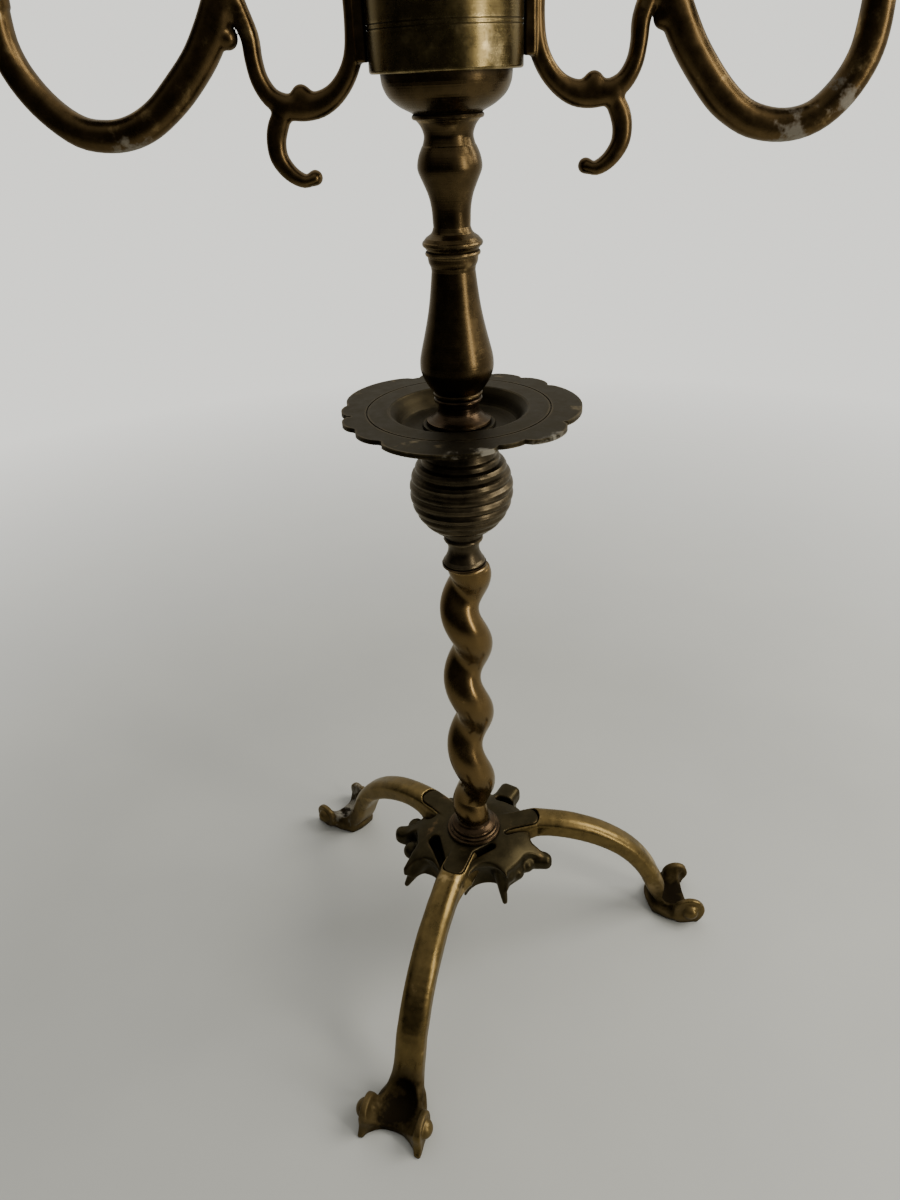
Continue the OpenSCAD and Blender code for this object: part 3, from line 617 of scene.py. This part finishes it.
# (distance from the axis, height, width), from the drum outwards, as in part.scad
STRAND = [(24.5, 388, 7), (30, 398, 7.5), (41, 403, 8.4), (52, 399, 9), (60, 389, 9.6)]
BEND_LEFT = [(65.5, 379, 9.8), (71.5, 370.5, 9.7), (79.3, 362.8, 9.6), (86.6, 357.4, 9.2), (93.4, 354.3, 9),
             (100.6, 353.4, 8.9), (109, 355, 8.7), (117, 361.2, 8.5), (122.6, 369, 8.4),
             (REACH_LEFT, 378, 8.3), (REACH_LEFT, 388, 8.3)]
BEND_RIGHT = [(65, 378, 9.8), (70, 369, 9.7), (76, 361, 9.6), (82.6, 354.2, 9.4), (90, 350, 9.2),
              (99, 348.4, 9), (108, 350.3, 9), (115, 356.4, 9.2), (119.6, 364.5, 9.2),
              (REACH_RIGHT, 373, 9), (REACH_RIGHT, 388, 8.3)]
SCROLL = [(58, 384, 6), (55.4, 377, 5.2), (55, 371, 5), (54, 366, 5.2), (51.3, 361.6, 5.6),
          (47, 359.2, 6.6), (42.5, 359, 8), (37.5, 359.2, 7), (32.6, 361.7, 6), (28.6, 366.2, 5.6),
          (26.2, 372, 5.4), (25.5, 380, 5.4), (25.6, 390, 5.6)]
TAIL = [(47.5, 359, 5), (50.4, 354, 6), (51.5, 349.8, 5.8), (51, 345.4, 5.4), (48.2, 341.4, 4.8),
        (44.4, 339.2, 4), (41, 339.8, 3.2)]
# (distance from the axis, height, radius) and fillet of the knobs: in the crook, at the tail's end,
# and where the tail leaves the scroll
KNOBS = [(61.6, 376.4, 2.9, 1.0), (41, 340, 2.1, 1.0), (42.6, 362.2, 2.3, 2.0)]
# (height, radius) of the boss at an arm's end, which carries the pan
BOSS = [(0, 4.5), (4, 4.9), (8, 6.4), (10.3, 7.3), (10.9, 7.8), (11.5, 7.8), (12, 7.2)]


def bar(p, points, depth):
    """Rounded bar that follows a line of (x, z, width)."""
    x, y, z = p
    line = smooth_line(points)
    distance, _, where = near_line(x, z, line)
    half = np.interp(where, np.arange(len(line)), line[:, 2]) / 2
    across = depth / 2
    return (squarish(distance / half, np.abs(y) / across, 2.3) - 1) * np.minimum(half, across)


def arm_field(bend, reach, side):
    tab_low = (DRUM_RADIUS + 0.1, -4, DRUM_HEIGHT + 3)
    tab_high = (DRUM_RADIUS + 3.2, 4, DRUM_HEIGHT + 27)
    boss_heights, boss_radii = zip(*BOSS)
    stud_radius = 2.5

    def field(p):
        x, y, z = p[0] * side, p[1], p[2]
        q = (x, y, z)
        out = bar(q, STRAND + bend, 8.6)
        out = soft_min(out, bar(q, SCROLL, 6.2), 1.4)
        out = soft_min(out, bar(q, TAIL, 5.6), 1.4)
        for kx, kz, size, fillet in KNOBS:
            out = soft_min(out, ball(q, (kx, 0, kz), size), fillet)
        # tab against the drum, for its screws
        out = soft_min(out, block(q, tab_low, tab_high, 0.6), 0.8)
        # boss and stud that carry the pan and the candle cup
        to_axis = np.sqrt((x - reach) ** 2 + y ** 2)
        h = z - DRUM_HEIGHT - 20
        boss = to_axis - np.interp(h, boss_heights, boss_radii)
        out = soft_min(out, soft_max(boss, np.abs(h - 6) - 6, 0.4), 0.8)
        stud = np.maximum(to_axis - stud_radius, np.abs(z - PAN_HEIGHT - 3.4) - 4.4)
        out = np.minimum(out, stud)
        return out + ripple(p, 5.5, 0.06)
    return field


def make_arm(node, bend, reach, side, material):
    (x0, _, z0), (x1, _, z1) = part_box(node)
    low = (x0 / MM - 1.5, -9.5, z0 / MM - 1.5)
    high = (x1 / MM + 1.5, 9.5, z1 / MM + 1.5)
    shape = arm_field(bend, reach, side)
    cast_piece(node + "_cast", shape, low, high, CASTING_GRID, "branch", node, "arm_brass", material)


def make_arms(material):
    make_arm("arm_left", BEND_LEFT, REACH_LEFT, -1, material)
    make_arm("arm_right", BEND_RIGHT, REACH_RIGHT, 1, material)


# ---------------------------------------------------------------- twisted column

TWIST_START = COLUMN_TOP - 4.8      # here the strand is furthest to the right
TWIST_PITCH = 31.5
PITCH_GROWTH = 0.000034             # how the twist slackens towards the foot
STRAND_OFFSET = 2.6                 # of the strand's middle from the axis
STRAND_RADIUS = 7.8
NECK_RADIUS = 7.1                   # of the strand at its foot


def ramp(x):
    """Goes smoothly from 0 to 1."""
    x = np.clip(x, 0, 1)
    return x * x * (3 - 2 * x)


def unit(vectors):
    return vectors / np.linalg.norm(vectors, axis=1)[:, None]


def strand_point(z):
    """Middle of the twisted strand."""
    below = TWIST_START - z
    turn = 2 * math.pi * (below / TWIST_PITCH - PITCH_GROWTH * below ** 2)
    offset = STRAND_OFFSET * ramp((z - COLUMN_BASE) / 9) * (0.55 + 0.45 * ramp((COLUMN_TOP - z) / 5))
    return np.stack([offset * np.cos(turn), offset * np.sin(turn), z], -1)


def strand_rings(rings, sides):
    """The same sweep as in part.scad: the rings' slant follows the strand and dies out at both ends."""
    z = np.linspace(COLUMN_BASE, COLUMN_TOP, rings)
    slant = ramp((z - COLUMN_BASE) / 6) * ramp((COLUMN_TOP - z) / 6)
    ahead = unit(strand_point(z + 0.1) - strand_point(z - 0.1))
    lean = unit(np.stack([ahead[:, 0] * slant, ahead[:, 1] * slant, ahead[:, 2]], 1))
    u = unit(np.stack([lean[:, 2], 0 * z, -lean[:, 0]], 1))
    v = np.cross(lean, u)
    radius = NECK_RADIUS + (STRAND_RADIUS - NECK_RADIUS) * ramp((z - COLUMN_BASE) / 7)
    angle = -2 * math.pi * np.arange(sides) / sides
    across = u[:, None, :] * np.cos(angle)[None, :, None] + v[:, None, :] * np.sin(angle)[None, :, None]
    return strand_point(z)[:, None, :] + radius[:, None, None] * across


def strand_faces(rings, sides):
    """Quads between the rings, and a fan of triangles round the last two points at each end."""
    ring = np.arange(rings - 1)[:, None]
    side = np.arange(sides)[None, :]
    here = (ring * sides + side).ravel()
    beside = (ring * sides + (side + 1) % sides).ravel()
    faces = np.stack([here, here + sides, beside + sides, beside], 1).tolist()
    top = (rings - 1) * sides
    base_middle = rings * sides
    top_middle = base_middle + 1
    for n in range(sides):
        m = (n + 1) % sides
        faces.append([n, m, base_middle])
        faces.append([top + m, top + n, top_middle])
    return faces


def make_column(material):
    rings = 420
    sides = 72
    points = strand_rings(rings, sides).reshape(-1, 3)
    points = np.vstack([points, [0, 0, COLUMN_BASE], [0, 0, COLUMN_TOP]])
    mesh = bpy.data.meshes.new("column_twist")
    mesh.from_pydata((points * MM).tolist(), [], strand_faces(rings, sides))
    place(mesh, "stand", "column", "column_brass", material)


# ---------------------------------------------------------------- materials

# near-black colour of the grime and of the painted shade in hollows and in the feet
GRIME_AND_SHADE_COLOUR = colour(0.0045, 0.003, 0.0015)
WAX = colour(0.26, 0.24, 0.19)
WAX_ROUGHNESS = colour(0.6, 0.6, 0.6)     # a grey stands for the plain value


def spots(g, where, places):
    """Soft spots, listed as x, y, z and radius in millimetres."""
    total = 0.0
    for x, y, z, radius in places:
        middle = (x * MM, y * MM, z * MM)
        away = g.node("ShaderNodeVectorMath", {0: where, 1: middle}, operation="DISTANCE")
        total = g.math("MAXIMUM", total, g.ramp(away.outputs["Value"], radius * MM, 0.15 * radius * MM))
    return total


def rubbing(g, broad, mottle, hollow, wear, edges):
    """Where the brass is rubbed bright: everywhere that is open, and on the edges alone."""
    edge = g.node("ShaderNodeBevel", {"Radius": 1.3 * MM}, samples=5).outputs[0]
    normal = g.node("ShaderNodeNewGeometry").outputs["Normal"]
    same = g.node("ShaderNodeVectorMath", {0: edge, 1: normal}, operation="DOT_PRODUCT").outputs["Value"]
    edge_mask = g.ramp(same, 0.995, 0.93)
    open_place = g.ramp(hollow, 0.72, 0.98)
    uneven = g.math("ADD", broad, g.math("MULTIPLY", mottle, 0.55))
    wear_mask = g.math("MULTIPLY", g.ramp(uneven, 0.98 - 0.3 * wear, 1.14 - 0.22 * wear), open_place)
    on_edges = g.math("MULTIPLY", edge_mask, g.ramp(mottle, 0.35, 0.62), True)
    on_edges = g.math("MULTIPLY", on_edges, edges)
    bright = g.math("MAXIMUM", wear_mask, g.math("MULTIPLY", on_edges, open_place), True)
    return bright, on_edges


def grime_and_painted_shade(g, where, broad, mottle, hollow, on_edges, soot_and_shade):
    """Grime and painted shade in the hollows, and ragged dark patches of black deposit and painted shade
    that the edges are rubbed clean of.
    """
    # darker wherever ambient occlusion finds a hollow: grime, and painted shade
    grime_and_shade = g.math("MULTIPLY", g.ramp(hollow, 0.80, 0.34), g.ramp(mottle, 0.2, 0.6, 0.75, 1.0), True)
    # ragged dark patches over the feet and in their bowls: black deposit and painted shade
    if soot_and_shade:
        ragged = g.math("ADD", g.math("MULTIPLY", broad, 1.1), g.math("MULTIPLY", mottle, 0.9))
        soot_and_shade_patch = g.ramp(g.math("ADD", spots(g, where, soot_and_shade), ragged), 1.15, 1.85)
        left = g.math("SUBTRACT", 0.97, g.math("MULTIPLY", on_edges, 0.6))
        grime_and_shade = g.math("MAXIMUM", grime_and_shade, g.math("MULTIPLY", soot_and_shade_patch, left, True))
    return grime_and_shade


def lathe_lines(g, where):
    """Fine rings round the axis."""
    height = g.node("ShaderNodeSeparateXYZ", {0: where}).outputs["Z"]
    return g.noise(g.node("ShaderNodeCombineXYZ", {"Z": height}), 2600.0, 2.0, 0.7)


def aged_brass(name, patina, worn, rough, shine, wear, deep, lines=0.0, edges=1.0, blotches=0.62,
               wax=(), soot_and_shade=()):
    """Brass with a brown patina, worn bright on the edges and darkened in the hollows by grime and painted
    shade.

    rough is the patina's roughness and shine that of the worn brass, which wear gives the share of.
    deep is the reach of the grime and painted shade in millimetres, lines the depth of the lathe's lines,
    edges how bright the edges are, and blotches the tone of the patina's darker patches. wax lists spots
    with whitish deposits; the list after it gives dark spots of black deposit and painted shade.
    """
    material = bpy.data.materials.new(name)
    g = Graph(material)
    where = g.node("ShaderNodeTexCoord").outputs["Object"]
    broad = g.noise(where, 38.0, 4.0, 0.6, 0.4)
    mottle = g.noise(where, 190.0, 5.0, 0.65)
    grain = g.noise(where, 1500.0, 3.0, 0.6)
    # ambient occlusion: drives the grime and painted shade in the hollows, and keeps wear out of them
    hollow = g.node("ShaderNodeAmbientOcclusion", {"Distance": deep * MM}, samples=8).outputs["AO"]
    bright, on_edges = rubbing(g, broad, mottle, hollow, wear, edges)
    grime_and_shade = grime_and_painted_shade(g, where, broad, mottle, hollow, on_edges, soot_and_shade)

    darker = colour(*(blotches * v for v in patina[:3]))
    base = g.mix(g.ramp(mottle, 0.36, 0.66), darker, patina)
    base = g.mix(bright, base, worn)
    # grime and painted shade turn the colour near black
    base = g.mix(grime_and_shade, base, GRIME_AND_SHADE_COLOUR)
    roughness = g.math("ADD", g.ramp(mottle, 0.3, 0.7, rough - 0.06, rough + 0.07),
                       g.math("MULTIPLY", bright, shine - rough))
    roughness = g.math("ADD", roughness, g.math("MULTIPLY", grime_and_shade, 0.35), True)
    metal = g.ramp(grime_and_shade, 0.0, 1.0, 0.96, 0.15)
    if wax:
        deposit = spots(g, where, wax)
        patchy = g.ramp(g.math("ADD", mottle, g.math("MULTIPLY", deposit, 0.3)), 0.68, 0.82)
        deposit = g.math("MULTIPLY", patchy, g.ramp(deposit, 0.05, 0.5))
        deposit = g.math("MULTIPLY", deposit, 0.75, True)
        base = g.mix(deposit, base, WAX)
        roughness = g.mix(deposit, roughness, WAX_ROUGHNESS)
        metal = g.math("MULTIPLY", metal, g.math("SUBTRACT", 1.0, deposit))

    height = g.math("ADD", g.math("MULTIPLY", mottle, 0.10), g.math("MULTIPLY", grain, 0.035))
    if lines:
        height = g.math("ADD", height, g.math("MULTIPLY", lathe_lines(g, where), lines))
    bump = g.node("ShaderNodeBump", {"Height": height, "Strength": 0.35, "Distance": 0.6 * MM})
    shader = g.node("ShaderNodeBsdfPrincipled", {
        "Base Color": base, "Roughness": roughness, "Metallic": metal,
        "Specular IOR Level": g.ramp(grime_and_shade, 0.0, 0.8, 0.4, 0.02),
        "Specular Tint": colour(0.90, 0.87, 0.79), "Normal": bump})
    g.node("ShaderNodeOutputMaterial", {"Surface": shader})
    return material


def steel(name):
    """Dull steel with brown rust patches."""
    material = bpy.data.materials.new(name)
    g = Graph(material)
    where = g.node("ShaderNodeTexCoord").outputs["Object"]
    mottle = g.noise(where, 240.0, 5.0, 0.6)
    fine = g.noise(where, 1800.0, 3.0, 0.6)
    tone = g.mix(g.ramp(mottle, 0.4, 0.7), colour(0.19, 0.175, 0.155), colour(0.10, 0.065, 0.04))
    bump = g.node("ShaderNodeBump", {"Height": fine, "Strength": 0.2, "Distance": 0.3 * MM})
    shader = g.node("ShaderNodeBsdfPrincipled", {
        "Base Color": tone, "Metallic": g.ramp(mottle, 0.45, 0.75, 0.95, 0.5),
        "Roughness": g.ramp(fine, 0.3, 0.7, 0.34, 0.55), "Normal": bump})
    g.node("ShaderNodeOutputMaterial", {"Surface": shader})
    return material


def foot_spots(inward, z, radius):
    """A spot in each foot, so far inward of its ears."""
    return [polar(leg.reach - inward, leg.azimuth, z) + (radius,) for leg in LEGS.values()]


BRASSES = {
    # the dark spots listed for each foot darken the foot and its bowl: black deposit and painted shade
    "leg": dict(patina=colour(0.175, 0.120, 0.042), worn=colour(0.50, 0.36, 0.16),
                rough=0.30, shine=0.24, wear=0.42, deep=9.0, edges=0.45,
                wax=[(-72, 75, 10, 24)], soot_and_shade=foot_spots(4.5, 4, 25) + foot_spots(12, 9, 14)),
    # the hub's patina is darker than the legs' and its hollows darken further out: grime, and painted shade
    # of its deep niches
    "hub": dict(patina=colour(0.040, 0.031, 0.014), worn=colour(0.18, 0.105, 0.045),
                rough=0.36, shine=0.30, wear=0.22, deep=13.0, edges=0.45),
    "arm": dict(patina=colour(0.120, 0.076, 0.030), worn=colour(0.42, 0.29, 0.12),
                rough=0.31, shine=0.25, wear=0.34, deep=6.0,
                wax=[(-95, 0, 348, 13), (101, 0, 345, 14), (114, 0, 356, 12)]),
    "column": dict(patina=colour(0.140, 0.090, 0.034), worn=colour(0.38, 0.26, 0.11),
                   rough=0.23, shine=0.19, wear=0.2, deep=3.0, blotches=0.85),
    "collar": dict(patina=colour(0.054, 0.034, 0.018), worn=colour(0.22, 0.145, 0.07),
                   rough=0.28, shine=0.24, wear=0.25, deep=5.0, lines=0.25, edges=0.7),
    "socket": dict(patina=colour(0.066, 0.050, 0.028), worn=colour(0.32, 0.25, 0.14),
                   rough=0.30, shine=0.24, wear=0.2, deep=4.0, lines=0.20, edges=0.6),
    "tray": dict(patina=colour(0.030, 0.023, 0.011), worn=colour(0.30, 0.23, 0.12),
                 rough=0.46, shine=0.30, wear=0.2, deep=9.0, lines=0.12, edges=0.5,
                 wax=[(1, -45, TRAY_HEIGHT - 2, 11), (9, -45, TRAY_HEIGHT - 2, 12),
                      (30, -32, TRAY_HEIGHT - 2, 11)]),
    "turned": dict(patina=colour(0.088, 0.058, 0.024), worn=colour(0.34, 0.24, 0.11),
                   rough=0.26, shine=0.21, wear=0.28, deep=5.0, lines=0.25),
    "drum": dict(patina=colour(0.190, 0.140, 0.054), worn=colour(0.52, 0.40, 0.19),
                 rough=0.27, shine=0.22, wear=0.4, deep=6.0, lines=0.25),
}

NODE_MATERIAL = {
    "base_collar": "collar", "column_washer": "collar", "ribbed_socket": "socket", "drip_tray": "tray",
    "nozzle": "tray", "plug": "collar", "vase": "turned", "baluster": "turned", "bowl": "turned",
    "drum": "drum", "drum_lid": "drum", "centre_pan": "tray", "pan_left": "tray", "pan_right": "tray",
    "centre_candle_cup": "turned", "candle_cup_left": "turned", "candle_cup_right": "turned",
}


def make_materials():
    made = {name: aged_brass(name + "_brass", **look) for name, look in BRASSES.items()}
    made["steel"] = steel("steel")
    return made


def dress_nodes(materials):
    """Every CAD node gets its material; those not listed are fasteners, or replaced further down."""
    for name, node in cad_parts.items():
        node.data.materials.clear()
        node.data.materials.append(materials[NODE_MATERIAL.get(name, "steel")])


# ---------------------------------------------------------------- the picture

metals = make_materials()
make_camera()
make_floor()
make_world()
make_light("window", (0.95, 0.12, 0.85), (0.7, 0.7), 10.5, (1.0, 0.97, 0.91))
make_light("tall window", (0.85, -0.62, 0.50), (0.16, 0.70), 4.4, (1.0, 0.96, 0.88))
dress_nodes(metals)
make_legs(metals["leg"])
make_hub(metals["hub"])
make_column(metals["column"])
make_arms(metals["arm"])
